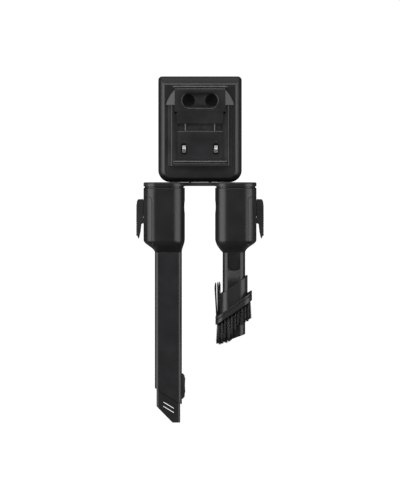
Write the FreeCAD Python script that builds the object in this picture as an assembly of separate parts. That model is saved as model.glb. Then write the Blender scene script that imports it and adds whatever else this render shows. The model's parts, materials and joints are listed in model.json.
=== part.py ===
"""Wall dock for a cordless stick vacuum, with two cleaning tools on the holder under it.

Millimetres. +Z is up and the front faces -Y. The wall is the plane Y = 0, and the origin is the
centre of the dock's back face. Each function below makes one piece or one family of pieces.
"""
import FreeCAD, Part
import os

Vec = FreeCAD.Vector
os.makedirs("parts", exist_ok=True)

# ---- Clearances ----------------------------------------------------------------------------
SEAT = 0.05             # between two pieces that are screwed or glued face to face
FIT = 0.15              # between a panel and the recess that it drops into
MOVE = 0.40             # beside a piece that moves
PIN_RUN = 0.05          # radial, a lever's hole on its pin
PIN_HOLD = 0.02         # radial, a fixed hole round a pin

# ---- Dock ----------------------------------------------------------------------------------
DOCK_WIDTH = 107.0
DOCK_HEIGHT = 135.6
DOCK_SIDE_DEPTH = 30.0  # where the bevel round the front face starts
DOCK_DEPTH = 38.0       # the flat front face
DOCK_WALL = 2.4
REAR_DEPTH = 14.0       # split between the rear and the front cover
REAR_WALL = 3.0
TOP_CORNER_R = 5.0
BOTTOM_CORNER_R = 15.4
BEVEL_SIDE = 8.0
BEVEL_TOP = 10.5
BEVEL_BOTTOM = 6.0
BEVEL_PROFILE = (       # a soft bevel: distance behind the front face, share of the bevel's width
    (11.0, 0.0),
    (8.5, 0.035),
    (6.5, 0.14),
    (4.5, 0.32),
    (2.8, 0.52),
    (1.4, 0.74),
    (0.5, 0.92),
    (0.0, 1.1),
)

COVER_SCREW_X = 43.0
COVER_SCREW_Z = (46.0, -50.0)
COVER_SCREW_R = 1.5
BOSS_R = 4.0
SCREW_HEAD_R = 3.0
SCREW_HEAD_H = 2.2
SCREW_SLACK = 0.2       # radial, round a screw's shank
WALL_HOLE_X = 30.0
WALL_HOLE_Z = 42.0
WALL_HOLE_R = 2.4

# ---- Cradle on the dock's front ------------------------------------------------------------
CRADLE_BASE_HALF = 41.0
CRADLE_RIDGE_HALF = 36.0
CRADLE_FRONT = 44.0     # distance of the frame's face from the wall
CRADLE_TOP = 55.6
CRADLE_TOP_HALF = 34.3
CROWN_FRONT = 48.5      # bar above the hanger panel
CRADLE_SHOULDER_Z = 32.0
CRADLE_BOTTOM = -46.7
WING_CENTRE_Z = 19.3
WING_R = 45.0
WING_BOTTOM = 31.2
WING_FRONT = 47.6       # the wings slope back from here, beside the hanger panel
WING_EDGE_FRONT = 41.4  # to here at their outer edge
HANGER_HALF = 32.3
HANGER_LOW_HALF = 29.6
HANGER_TOP = 52.2
HANGER_STEP_Z = 22.4
HANGER_BOTTOM = 7.0
HANGER_FRONT = 50.0
HANGER_LIP_FRONT = 45.6
HANGER_BACK = 28.0
PILL_LENGTH = 46.0
PILL_HEIGHT = 19.2
PILL_Z = 37.0
PILL_DEPTH = 7.0
SOCKET_HOLE_R = 7.9
SOCKET_HOLE_X = 14.5
SOCKET_HOLE_FLOOR = 31.0
PLATE_HALF = 29.2
PLATE_TOP = -2.2
PLATE_BOTTOM = -39.4
PLATE_FRONT = 43.5
FRAME_FLOOR = 39.9      # front of the frame's web behind the contact plate
SLOT_X = 20.4
SLOT_Z = -25.2
SLOT_WIDTH = 7.7
SLOT_HEIGHT = 14.7
CONTACT_WIDTH = 4.6
CONTACT_HEIGHT = 9.6
CONTACT_PROUD = 0.8
CONTACT_BACK = 33.0
CONTACT_TRAVEL = 1.5
CONTACT_SPRING_R = 1.5
LOCATING_PIN_X = 18.7
LOCATING_PIN_R = 0.75
BOARD_HALF = 29.0
BOARD_TOP = -7.0
BOARD_BOTTOM = -41.0
BOARD_BACK = 20.0
BOARD_THICK = 1.6
BOARD_SCREW_X = 25.0
BOARD_SCREW_Z = (-11.0, -37.0)

# ---- Power inlet ---------------------------------------------------------------------------
INLET_R = 2.8
INLET_PIN_R = 0.9
INLET_LENGTH = 9.0
INLET_BODY = (10.0, 10.0, 12.0)
INLET_Y = -8.4

# ---- Accessory holder ----------------------------------------------------------------------
TOOL_Y = -36.0          # both tools' axes
TOOL_X = 45.8           # middle of a tool's socket housing
BORE_X = 42.5           # middle of a tool's bore and of the post in it
TOOL_WIDTH = 52.8
TOOL_DEPTH = 51.0
TOOL_CORNER_R = 17.0
HOLDER_DROP = 0.3       # holder below the dock
HOLDER_THICK = 4.8
HOLDER_BAR_DEPTH = 26.0
TOOL_DROP = 2.0         # tool's rim below the holder
LIP_GAP = 0.5           # between the holder and the lip that stands inside the rim
LIP_INSET = 1.4
POST_WALL = 2.5
POST_LENGTH = 36.0
BORE_R = 17.0
POST_R = BORE_R - 0.5
BORE_DEPTH = 42.0
POST_SCREW_R = 2.0
BRACKET_SCREW_X = 13.0
BRACKET_SCREW_Y = -25.0
DOCK_BOTTOM = -DOCK_HEIGHT / 2
HOLDER_TOP = DOCK_BOTTOM - HOLDER_DROP
HOLDER_BOTTOM = HOLDER_TOP - HOLDER_THICK
RIM_Z = HOLDER_BOTTOM - TOOL_DROP     # top of both tools; their heights are drops below it
TOOL_FACE_X = TOOL_X + TOOL_WIDTH / 2     # outer side of a tool

# ---- Tool socket, shared by both tools -----------------------------------------------------
SHOULDER_Z = RIM_Z - 66.4     # where the housing starts to draw in
COVER_X = BORE_X + BORE_R + 2.0          # seam of the side cover
COVER_TOP = RIM_Z - 11.5
COVER_BOTTOM = RIM_Z - 73.1
COVER_SEAM = 0.45
LATCH_TOP = RIM_Z - 14.7
LATCH_BOTTOM = RIM_Z - 65.3
LATCH_HALF = 7.8
LATCH_OUT = 9.3         # how far the latch stands off the housing
LATCH_SPLIT = RIM_Z - 43.7    # grip pad below this
PIVOT_X = TOOL_FACE_X - 3.6
PIVOT_Z = RIM_Z - 42.1
PIVOT_R = 1.2
POCKET_X = COVER_X + 2.5
PAD_THICK = 1.3
RIB_Y = 5.4             # rib on the side cover that runs in a groove of the latch
RIB_THICK = 1.4
RIB_PROUD = 1.6

# ---- Crevice tool --------------------------------------------------------------------------
TUBE_X = (23.2, 57.8)
TUBE_Z_TOP = RIM_Z - 82.1
TUBE_HALF_DEPTH = 10.5
TUBE_CORNER_R = 5.0
TUBE_WALL = 1.8
TUBE_END_OUT = RIM_Z - 256.1   # lower edge of the tube at its outer side
TUBE_END_IN = RIM_Z - 277.1    # lower edge of the tube at its inner side
SPIGOT_LENGTH = 9.0
NOZZLE_GAP = 0.35
NOZZLE_WALL = 1.5
NOZZLE_TOP = RIM_Z - 130.1
NOZZLE_TIP = RIM_Z - 300.4
NOZZLE_SLANT_START = RIM_Z - 279.6
NOZZLE_SLANT_WIDTH = 20.5
BUTTON_TOP = RIM_Z - 242.6
BUTTON_BOTTOM = RIM_Z - 266.6
BUTTON_OUT = 18.8
BUTTON_HALF = 4.6
BUTTON_PIVOT_X = 20.9
BUTTON_PIVOT_Z = RIM_Z - 256.6
BUTTON_PIN_R = 0.9
BUTTON_GAP = 1.4        # room to rock, between the button and the tube's side

# ---- Brush tool ----------------------------------------------------------------------------
NECK_X = (29.0, 57.8)
NECK_Z_TOP = RIM_Z - 82.7
NECK_HALF_DEPTH = 22.0
NECK_TOP_HALF_DEPTH = 15.5
NECK_CORNER_R = 8.0
NECK_FLARE = (          # half depth of the nozzle's outside at each height
    (RIM_Z - 95.1, 16.0),
    (RIM_Z - 105.1, 18.0),
    (RIM_Z - 115.1, 20.8),
    (RIM_Z - 124.1, 22.0),
)
NECK_BORE_FLARE = (     # and of the section its bore follows
    (RIM_Z - 106.1, 15.5),
    (RIM_Z - 116.1, 18.5),
    (RIM_Z - 124.1, 22.0),
)
MOUTH_OUT = RIM_Z - 186.5      # mouth's edge at its outer side
MOUTH_IN = RIM_Z - 196.9
COLLAR_WALL = 2.6
BAND_X = (19.8, 66.4)
BAND_HALF_DEPTH = 31.0
BAND_GROOVE = 0.9
# Each slanted plane: its height at the band\'s inner and outer edge.
COLLAR_TOP = (RIM_Z - 140.3, RIM_Z - 107.6)
BAND_TOP = (RIM_Z - 165.4, RIM_Z - 131.8)
BAND_BOTTOM = (RIM_Z - 174.8, RIM_Z - 143.0)
BRISTLE_END = (RIM_Z - 202.1, RIM_Z - 159.1)
BRISTLE_INSET = 2.6
COLLAR_RING_THICK = 1.1
TUFT_X = (20.6, 25.6)
TUFT_Y = -22.0
TUFT_HALF = 8.0
TUFT_TIP = RIM_Z - 121.1
TUFT_LEAN = 0.6



# ---- Helpers -------------------------------------------------------------------------------
def save(name, shape):
    """Write one node."""
    solids = shape.Solids
    if not solids or not shape.isValid():
        raise RuntimeError(f"{name} isn't a valid solid")
    shape.exportStep(f"parts/{name}.step")
    print(f"{name}: {len(solids)} solid, {shape.Volume / 1000:.2f} cm3")


def box(x, y, z):
    """A box from its (low, high) pairs."""
    return Part.makeBox(x[1] - x[0], y[1] - y[0], z[1] - z[0], Vec(x[0], y[0], z[0]))


def rod(start, direction, radius, length):
    """A cylinder from the middle of one end."""
    return Part.makeCylinder(radius, length, Vec(*start), Vec(*direction))


def rounded_wire(a, b, r_low, r_high, place):
    """A rectangle a by b with round corners. place(a, b) says where a point lies in space."""
    def corner(ca, cb, r, sa, sb, first_along_a):
        near = (ca + sa * r, cb)
        far = (ca, cb + sb * r)
        middle = (ca + sa * r * 0.7071067811865476, cb + sb * r * 0.7071067811865476)
        ends = (far, near) if first_along_a else (near, far)
        return Part.Arc(place(*ends[0]), place(*middle), place(*ends[1])).toShape(), ends

    low_right, e1 = corner(a[1] - r_low, b[0] + r_low, r_low, 1, -1, True)
    high_right, e2 = corner(a[1] - r_high, b[1] - r_high, r_high, 1, 1, False)
    high_left, e3 = corner(a[0] + r_high, b[1] - r_high, r_high, -1, 1, True)
    low_left, e4 = corner(a[0] + r_low, b[0] + r_low, r_low, -1, -1, False)
    edges = [low_right]
    for before, after, arc in ((e1, e2, high_right), (e2, e3, high_left), (e3, e4, low_left)):
        edges.append(Part.makeLine(place(*before[1]), place(*after[0])))
        edges.append(arc)
    edges.append(Part.makeLine(place(*e4[1]), place(*e1[0])))
    return Part.Wire(edges)


def upright(y):
    """Places a point of an outline that is parallel to the wall."""
    return lambda a, b: Vec(a, y, b)


def level(z):
    """Places a point of a level outline."""
    return lambda a, b: Vec(a, b, z)


def plate(a, b, r, y_front, y_back, r_high=None):
    """A rounded plate parallel to the wall."""
    wire = rounded_wire(a, b, r, r if r_high is None else r_high, upright(y_front))
    return Part.Face(wire).extrude(Vec(0, y_back - y_front, 0))


def column(x, y, r, z_low, z_high):
    """A rounded upright column."""
    return Part.Face(rounded_wire(x, y, r, r, level(z_low))).extrude(Vec(0, 0, z_high - z_low))


def profile(points, place, vector):
    """A polygon's solid, swept straight along vector."""
    corners = [place(*p) for p in points]
    return Part.Face(Part.makePolygon(corners + corners[:1])).extrude(vector)


def about(middle, half):
    """The (low, high) pair about a middle."""
    return (middle - half, middle + half)


def fuse_all(shapes):
    """One solid from several."""
    whole = shapes[0]
    for shape in shapes[1:]:
        whole = whole.fuse(shape)
    return whole.removeSplitter()


def cut_all(shape, tools):
    """A shape with several others taken away."""
    for tool in tools:
        shape = shape.cut(tool)
    return shape


def below_slant(x_in, z_in, x_out, z_out, z_floor=-480.0):
    """The space below a slanted plane that runs level in Y, through two points of x and z."""
    slope = (z_out - z_in) / (x_out - x_in)
    low, high = x_in - 30.0, x_out + 30.0
    points = [
        (low, z_floor),
        (high, z_floor),
        (high, z_out + slope * (high - x_out)),
        (low, z_in + slope * (low - x_in)),
    ]
    return profile(points, lambda x, z: Vec(x, TOOL_Y - 60.0, z), Vec(0, 120.0, 0))


def screw(start, direction, radius, length):
    """A pan-head screw: start is the top of its head."""
    head = rod(start, direction, SCREW_HEAD_R, SCREW_HEAD_H)
    shank = rod(start, direction, radius, length)
    drive = rod(start, direction, radius * 0.75, SCREW_HEAD_H * 0.6)
    return head.fuse(shank).cut(drive).removeSplitter()


def coil(middle, direction, radius, wire_r, pitch, turns):
    """A helical spring along direction, starting at middle."""
    helix = Part.makeLongHelix(pitch, pitch * turns, radius)
    section = Part.Wire(Part.makeCircle(wire_r, Vec(radius, 0, 0), Vec(0, 1, 0)))
    spring = Part.Wire(helix).makePipeShell([section], True, True)
    spring.Placement = FreeCAD.Placement(Vec(*middle), FreeCAD.Rotation(Vec(0, 0, 1), Vec(*direction)))
    return spring


def mirrored(shape):
    """The same piece on the dock's other side."""
    return shape.mirror(Vec(0, 0, 0), Vec(1, 0, 0))


# ---- Dock housing --------------------------------------------------------------------------
def dock_wire(y, side=0.0, top=0.0, bottom=0.0):
    """The dock's outline, drawn in by the given amounts."""
    drawn_in = min(side, bottom)
    return rounded_wire(
        about(0, DOCK_WIDTH / 2 - side),
        (-DOCK_HEIGHT / 2 + bottom, DOCK_HEIGHT / 2 - top),
        max(BOTTOM_CORNER_R - drawn_in, 2.0),
        max(TOP_CORNER_R - min(side, top), 1.2),
        upright(y),
    )


def dock_prism(y_back, y_front, inset=0.0):
    """A straight length of the dock's outline."""
    wire = dock_wire(y_back, inset, inset, inset)
    return Part.Face(wire).extrude(Vec(0, y_front - y_back, 0))


def cover_screw_places():
    """Where the two covers are screwed together, as (x, z)."""
    return [(sx * COVER_SCREW_X, z) for z in COVER_SCREW_Z for sx in (-1, 1)]


def make_rear_cover():
    """Tray against the wall: holes for wall screws, bosses for the cover screws, inlet hole."""
    shell = dock_prism(0, -REAR_DEPTH).cut(dock_prism(-REAR_WALL, -REAR_DEPTH - 1, DOCK_WALL))
    for x, z in cover_screw_places():
        shell = shell.fuse(rod((x, -REAR_WALL, z), (0, -1, 0), BOSS_R, REAR_DEPTH - REAR_WALL))
    for x, z in cover_screw_places():
        shell = shell.cut(rod((x, 1, z), (0, -1, 0), COVER_SCREW_R + SCREW_SLACK, REAR_DEPTH + 2))
        shell = shell.cut(rod((x, 1, z), (0, -1, 0), SCREW_HEAD_R + SCREW_SLACK, SCREW_HEAD_H + 1.4))
    for sx in (-1, 1):
        for sz in (-1, 1):
            hole = rod((sx * WALL_HOLE_X, 1, sz * WALL_HOLE_Z), (0, -1, 0), WALL_HOLE_R, REAR_WALL + 2)
            shell = shell.cut(hole)
    inlet_hole = rod((0, INLET_Y, DOCK_BOTTOM - 1), (0, 0, 1), INLET_R + 1.0, DOCK_WALL + 2)
    inlet_rest = box(
        about(0, 8.0), (-REAR_WALL - 2.0, -REAR_WALL + 0.2), (DOCK_BOTTOM + 1, DOCK_BOTTOM + 12)
    )
    inlet_body = inlet_box().BoundBox
    room = box(
        (inlet_body.XMin - SEAT, inlet_body.XMax + SEAT),
        (inlet_body.YMin - 20, inlet_body.YMax + SEAT),
        (inlet_body.ZMin - SEAT, inlet_body.ZMax + SEAT),
    )
    return shell.fuse(inlet_rest).cut(room).cut(inlet_hole).removeSplitter()


def make_front_cover():
    """Bevelled front shell with the cradle opening, screw bosses and holder bosses."""
    split = -REAR_DEPTH - SEAT
    sections = [
        dock_wire(-DOCK_DEPTH + back, BEVEL_SIDE * share, BEVEL_TOP * share, BEVEL_BOTTOM * share)
        for back, share in BEVEL_PROFILE
    ]
    outer = dock_prism(split, -DOCK_DEPTH + BEVEL_PROFILE[0][0])
    outer = outer.fuse(Part.makeLoft(sections, True, True))
    w = DOCK_WALL
    step = w * 0.6
    hollow = dock_prism(split + 1, -DOCK_SIDE_DEPTH + step, w).fuse(
        Part.makeLoft(
            [
                dock_wire(-DOCK_SIDE_DEPTH + step, w, w, w),
                dock_wire(-DOCK_DEPTH + w, BEVEL_SIDE + step, BEVEL_TOP + step, BEVEL_BOTTOM + step),
            ],
            True,
            True,
        )
    )
    shell = outer.cut(hollow)
    bosses = [
        rod((x, split, z), (0, -1, 0), BOSS_R, DOCK_DEPTH - REAR_DEPTH - 1) for x, z in cover_screw_places()
    ]
    bosses += [
        rod((sx * BRACKET_SCREW_X, BRACKET_SCREW_Y, DOCK_BOTTOM + 1), (0, 0, 1), BOSS_R, 13.0)
        for sx in (-1, 1)
    ]
    for boss in bosses:
        shell = shell.fuse(boss.common(outer))
    for x, z in cover_screw_places():
        shell = shell.cut(rod((x, split + 1, z), (0, -1, 0), COVER_SCREW_R + PIN_HOLD, 15.0))
    for sx in (-1, 1):
        start = (sx * BRACKET_SCREW_X, BRACKET_SCREW_Y, DOCK_BOTTOM - 1)
        shell = shell.cut(rod(start, (0, 0, 1), COVER_SCREW_R + PIN_HOLD, 12.5))
    opening = plate(about(0, HANGER_HALF + FIT), (CRADLE_BOTTOM + 5, HANGER_TOP + FIT), 0.1, -60, -20)
    return shell.cut(opening).removeSplitter()


def make_cover_screws():
    """Four screws that hold the covers together, put in from the back."""
    return Part.makeCompound(
        [screw((x, -0.3, z), (0, -1, 0), COVER_SCREW_R, 26.0) for x, z in cover_screw_places()]
    )


# ---- Cradle --------------------------------------------------------------------------------
def make_cradle_frame():
    """Raised frame with two round wings, side bevels and a stepped sill under the contacts."""
    back = -DOCK_DEPTH - SEAT
    ridge = CRADLE_RIDGE_HALF
    bevelled = profile(
        [
            (-CRADLE_BASE_HALF, back),
            (CRADLE_BASE_HALF, back),
            (ridge + 0.9, -CRADLE_FRONT + 0.8),
            (ridge - 0.4, -CRADLE_FRONT),
            (-ridge + 0.4, -CRADLE_FRONT),
            (-ridge - 0.9, -CRADLE_FRONT + 0.8),
        ],
        level(CRADLE_BOTTOM),
        Vec(0, 0, CRADLE_SHOULDER_Z - CRADLE_BOTTOM),
    )
    facets = profile(
        [
            (-WING_R, back),
            (WING_R, back),
            (WING_R, -WING_EDGE_FRONT),
            (HANGER_HALF, -WING_FRONT),
            (-HANGER_HALF, -WING_FRONT),
            (-WING_R, -WING_EDGE_FRONT),
        ],
        level(WING_BOTTOM),
        Vec(0, 0, CRADLE_TOP - 3.0 - WING_BOTTOM),
    )
    wings = facets.common(rod((0, back, WING_CENTRE_Z), (0, -1, 0), WING_R, 20.0))
    crown = profile(
        [
            (back, CRADLE_TOP - 2.2),
            (-CROWN_FRONT, CRADLE_TOP - 2.2),
            (-CROWN_FRONT, CRADLE_TOP - 1.4),
            (-CROWN_FRONT + 0.5, CRADLE_TOP),
            (back, CRADLE_TOP),
        ],
        lambda y, z: Vec(-CRADLE_TOP_HALF, y, z),
        Vec(2 * CRADLE_TOP_HALF, 0, 0),
    )
    throat = plate(
        about(0, CRADLE_TOP_HALF - 1.0), (WING_BOTTOM - 1, CRADLE_TOP - 1.0), 0.3, -CRADLE_FRONT + 2.0, back
    )
    sill = profile(
        [
            (back, -40.2),
            (-48.15, -40.2),
            (-48.6, -41.6),
            (-45.8, -43.2),
            (-46.1, -43.3),
            (-46.6, -44.8),
            (-46.4, CRADLE_BOTTOM),
            (back, CRADLE_BOTTOM),
        ],
        lambda y, z: Vec(-CRADLE_TOP_HALF, y, z),
        Vec(2 * CRADLE_TOP_HALF, 0, 0),
    )
    tongue = plate(
        about(0, HANGER_HALF), (CRADLE_BOTTOM + 5 + FIT, 4.0), 1.0, back, -DOCK_DEPTH + DOCK_WALL + 0.6
    )
    frame = fuse_all([bevelled, wings, throat, crown, sill, tongue])
    floor = -FRAME_FLOOR
    hanger_room = plate(about(0, HANGER_HALF + FIT), (HANGER_STEP_Z - 2, HANGER_TOP + FIT), 0.1, -60, -20)
    lower_room = plate(about(0, HANGER_LOW_HALF + FIT), (HANGER_BOTTOM - FIT, HANGER_STEP_Z), 0.1, -60, -20)
    plate_room = plate(
        about(0, PLATE_HALF + FIT), (PLATE_BOTTOM - FIT, HANGER_BOTTOM), 0.1, -60, floor
    )
    frame = cut_all(frame, [hanger_room, lower_room, plate_room])
    for sx in (-1, 1):
        guide = plate(
            about(sx * SLOT_X, CONTACT_WIDTH / 2 + MOVE),
            about(SLOT_Z, CONTACT_HEIGHT / 2 + MOVE),
            0.5,
            -60,
            -20,
        )
        frame = frame.cut(guide)
        for z in BOARD_SCREW_Z:
            depth = FRAME_FLOOR - 1.0 - BOARD_BACK - BOARD_THICK - SEAT
            y_end = -BOARD_BACK - BOARD_THICK - SEAT
            frame = frame.fuse(rod((sx * BOARD_SCREW_X, y_end, z), (0, -1, 0), 3.0, depth))
            frame = frame.cut(rod((sx * BOARD_SCREW_X, y_end + 1, z), (0, -1, 0), 1.2 + PIN_HOLD, 9.0))
    return frame.removeSplitter()


def make_hanger_panel():
    """Block that the vacuum hangs on: a pill window over two round sockets, face undercut below."""
    front = -HANGER_FRONT
    body = profile(
        [
            (-HANGER_BACK, HANGER_TOP),
            (front + 0.5, HANGER_TOP),
            (front, HANGER_TOP - 1.4),
            (front, HANGER_STEP_Z + 3.4),
            (front + 1.2, HANGER_STEP_Z - 2.0),
            (-HANGER_LIP_FRONT, HANGER_BOTTOM + 0.8),
            (-HANGER_LIP_FRONT + 0.8, HANGER_BOTTOM),
            (-HANGER_BACK, HANGER_BOTTOM),
        ],
        lambda y, z: Vec(-HANGER_HALF, y, z),
        Vec(2 * HANGER_HALF, 0, 0),
    )
    for sx in (-1, 1):
        outside = sorted((sx * HANGER_LOW_HALF, sx * (HANGER_HALF + 2)))
        body = body.cut(box(outside, (-60, 0), (HANGER_BOTTOM - 1, HANGER_STEP_Z)))
    half = PILL_LENGTH / 2
    room = box(about(0, HANGER_LOW_HALF - 2.4), (-38, 0), (HANGER_BOTTOM + 2.2, HANGER_TOP - 2.4))
    body = body.cut(room)
    for sx in (-1, 1):
        tube = rod((sx * SOCKET_HOLE_X, -HANGER_BACK, PILL_Z), (0, -1, 0), SOCKET_HOLE_R + 2, 12.0)
        body = body.fuse(tube)
    window = plate(
        about(0, half), about(PILL_Z, PILL_HEIGHT / 2), PILL_HEIGHT / 2 - 0.01, -60, front + PILL_DEPTH
    )
    rims = []
    for grow, y in ((0.0, front + 0.5), (1.68, front - 0.1)):
        r = PILL_HEIGHT / 2 + grow - 0.01
        rims.append(rounded_wire(about(0, half + grow), about(PILL_Z, r + 0.01), r, r, upright(y)))
    flare = Part.makeLoft(rims, True, True)
    body = body.cut(window).cut(flare)
    for sx in (-1, 1):
        hole = rod((sx * SOCKET_HOLE_X, -60, PILL_Z), (0, 1, 0), SOCKET_HOLE_R, 60 - SOCKET_HOLE_FLOOR)
        body = body.cut(hole)
    for sx in (-1, 1):
        pin = rod(
            (sx * LOCATING_PIN_X, pin_y(), HANGER_BOTTOM - 1), (0, 0, 1), LOCATING_PIN_R + PIN_HOLD, 3.0
        )
        body = body.cut(pin)
    return body.removeSplitter()


def pin_y():
    """The locating pins' distance from the wall, in the middle of the ledge."""
    return -(FRAME_FLOOR + PLATE_FRONT) / 2 - 0.4


def make_contact_plate():
    """Lower plate with two rounded contact slots, a ledge on top and a rib in its middle."""
    back = -FRAME_FLOOR - SEAT
    body = profile(
        [
            (back, PLATE_TOP),
            (-PLATE_FRONT + 0.5, PLATE_TOP),
            (-PLATE_FRONT, PLATE_TOP - 1.4),
            (-PLATE_FRONT, PLATE_BOTTOM),
            (back, PLATE_BOTTOM),
        ],
        lambda y, z: Vec(-PLATE_HALF, y, z),
        Vec(2 * PLATE_HALF, 0, 0),
    )
    rib = box(about(0, 1.2), (-PLATE_FRONT + 0.7, back), (PLATE_TOP - 1, HANGER_BOTTOM - FIT))
    body = body.fuse(rib)
    for sx in (-1, 1):
        slot = plate(
            about(sx * SLOT_X, SLOT_WIDTH / 2), about(SLOT_Z, SLOT_HEIGHT / 2), 3.0, -60, -20
        )
        body = body.cut(slot)
        for z, r in ((SLOT_Z + 10.0, 1.6), (SLOT_Z + 13.6, 1.0)):
            body = body.cut(Part.makeSphere(r, Vec(sx * SLOT_X, -PLATE_FRONT - r * 0.45, z)))
        pin = rod((sx * LOCATING_PIN_X, pin_y(), PLATE_TOP - 2), (0, 0, 1), LOCATING_PIN_R + PIN_HOLD, 3.0)
        body = body.cut(pin)
    return body.removeSplitter()


def make_locating_pins():
    """Two small steel pins between the ledge and the hanger panel."""
    low = PLATE_TOP - 1.9
    high = HANGER_BOTTOM + 1.9
    return Part.makeCompound(
        [rod((sx * LOCATING_PIN_X, pin_y(), low), (0, 0, 1), LOCATING_PIN_R, high - low) for sx in (-1, 1)]
    )


def make_charge_contact(sx):
    """Nickel contact with a ridge across its face and a tail in the frame's guide."""
    top = SLOT_Z + CONTACT_HEIGHT / 2
    bottom = SLOT_Z - CONTACT_HEIGHT / 2
    ridge = -PLATE_FRONT - CONTACT_PROUD
    return profile(
        [
            (-CONTACT_BACK, top),
            (ridge + 2.6, top),
            (ridge + 0.2, SLOT_Z + 0.7),
            (ridge, SLOT_Z),
            (ridge + 0.4, SLOT_Z - 0.7),
            (ridge + 2.0, bottom),
            (-CONTACT_BACK, bottom),
        ],
        lambda y, z: Vec(sx * SLOT_X - CONTACT_WIDTH / 2, y, z),
        Vec(CONTACT_WIDTH, 0, 0),
    )


def make_contact_spring(sx):
    """Coil spring behind a contact."""
    y_end = -BOARD_BACK - BOARD_THICK - CONTACT_TRAVEL - 0.9
    turns = 4
    start = -CONTACT_BACK + 0.6
    pitch = (y_end - start) / turns
    return coil((sx * SLOT_X, start, SLOT_Z), (0, 1, 0), CONTACT_SPRING_R, 0.3, pitch, turns)


def make_charging_board():
    """Circuit board on the frame's four bosses."""
    y = (-BOARD_BACK - BOARD_THICK, -BOARD_BACK)
    board = box(about(0, BOARD_HALF), y, (BOARD_BOTTOM, BOARD_TOP))
    for sx in (-1, 1):
        for z in BOARD_SCREW_Z:
            board = board.cut(rod((sx * BOARD_SCREW_X, 0, z), (0, -1, 0), 1.2 + SCREW_SLACK, 40))
    return board


def make_board_components():
    """A coil, a controller and two capacitors on the board's back."""
    back = -BOARD_BACK + SEAT
    middle = (BOARD_TOP + BOARD_BOTTOM) / 2
    return Part.makeCompound(
        [
            box(about(-12, 6.0), (back, back + 3.0), about(middle, 6.0)),
            box(about(3, 3.5), (back, back + 1.4), about(middle + 4, 3.5)),
            rod((13, back, middle + 6), (0, 1, 0), 3.5, 3.8),
            rod((13, back, middle - 5), (0, 1, 0), 3.5, 3.8),
        ]
    )


def make_board_screws():
    """Four small screws through the board."""
    return Part.makeCompound(
        [
            screw((sx * BOARD_SCREW_X, -BOARD_BACK + SCREW_HEAD_H + SEAT, z), (0, -1, 0), 1.2, 9.0)
            for sx in (-1, 1)
            for z in BOARD_SCREW_Z
        ]
    )


def inlet_box():
    """The power inlet's block, on the dock's bottom wall."""
    width, depth, height = INLET_BODY
    low = DOCK_BOTTOM + DOCK_WALL + SEAT
    return box(about(0, width / 2), about(INLET_Y, depth / 2), (low, low + height))


def make_power_inlet():
    """Barrel socket that opens downwards, with its centre pin."""
    low = DOCK_BOTTOM + DOCK_WALL + SEAT
    bored = inlet_box().cut(rod((0, INLET_Y, low - 1), (0, 0, 1), INLET_R, INLET_LENGTH + 1))
    pin = rod((0, INLET_Y, low + 1.0), (0, 0, 1), INLET_PIN_R, INLET_LENGTH)
    return bored.fuse(pin).removeSplitter()


# ---- Accessory holder ----------------------------------------------------------------------
def make_accessory_bracket():
    """Bar under the dock that carries a round-cornered cap over each tool."""
    caps = []
    for sx in (-1, 1):
        cap = column(
            about(sx * TOOL_X, TOOL_WIDTH / 2),
            about(TOOL_Y, TOOL_DEPTH / 2),
            TOOL_CORNER_R,
            HOLDER_BOTTOM,
            HOLDER_TOP,
        )
        rim = [
            e for e in cap.Edges
            if abs(e.BoundBox.ZMin - HOLDER_TOP) < 1e-6 and abs(e.BoundBox.ZLength) < 1e-6
        ]
        caps.append(cap.makeFillet(1.0, rim))
    bar = box(
        about(0, TOOL_X - TOOL_WIDTH / 2 + 6),
        about(TOOL_Y + 2, HOLDER_BAR_DEPTH / 2),
        (HOLDER_BOTTOM + 0.4, HOLDER_TOP),
    )
    bracket = fuse_all(caps + [bar])
    for sx in (-1, 1):
        hole = rod((sx * BRACKET_SCREW_X, BRACKET_SCREW_Y, HOLDER_BOTTOM - 1), (0, 0, 1),
                   COVER_SCREW_R + SCREW_SLACK, HOLDER_THICK + 3)
        head = rod((sx * BRACKET_SCREW_X, BRACKET_SCREW_Y, HOLDER_BOTTOM - 1), (0, 0, 1),
                   SCREW_HEAD_R + SCREW_SLACK, SCREW_HEAD_H + 1.7)
        post = rod((sx * BORE_X, TOOL_Y, HOLDER_BOTTOM - 1), (0, 0, 1), POST_SCREW_R + SCREW_SLACK, 10)
        post_head = rod((sx * BORE_X, TOOL_Y, HOLDER_TOP - SCREW_HEAD_H - 0.2), (0, 0, 1),
                        SCREW_HEAD_R + SCREW_SLACK, 5)
        bracket = cut_all(bracket, [hole, head, post, post_head])
    return bracket.removeSplitter()


def make_bracket_screws():
    """Two screws from below, through the bar into the dock."""
    z = HOLDER_BOTTOM + 0.5
    return Part.makeCompound(
        [
            screw((sx * BRACKET_SCREW_X, BRACKET_SCREW_Y, z), (0, 0, 1), COVER_SCREW_R, 16.0) for sx in (-1, 1)
        ]
    )


def make_holder_post(sx):
    """Hollow post that a tool's bore slides over, with a groove for the latch hook."""
    top = HOLDER_BOTTOM - SEAT
    bottom = top - POST_LENGTH
    post = rod((sx * BORE_X, TOOL_Y, bottom), (0, 0, 1), POST_R, POST_LENGTH)
    rim = [e for e in post.Edges if abs(e.BoundBox.ZMax - bottom) < 1e-6]
    post = post.makeChamfer(1.6, rim)
    post = post.cut(rod((sx * BORE_X, TOOL_Y, bottom - 1), (0, 0, 1), POST_R - POST_WALL, POST_LENGTH - 2))
    post = post.fuse(rod((sx * BORE_X, TOOL_Y, top - 14), (0, 0, 1), 5.0, 13.0))
    post = post.cut(rod((sx * BORE_X, TOOL_Y, top - 13), (0, 0, 1), POST_SCREW_R + PIN_HOLD, 20.0))
    groove = rod((sx * BORE_X, TOOL_Y, LATCH_TOP - 6.4), (0, 0, 1), POST_R + 1, 5.4)
    groove = groove.cut(rod((sx * BORE_X, TOOL_Y, LATCH_TOP - 8), (0, 0, 1), POST_R - 1.3, 9))
    return post.cut(groove).removeSplitter()


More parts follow.
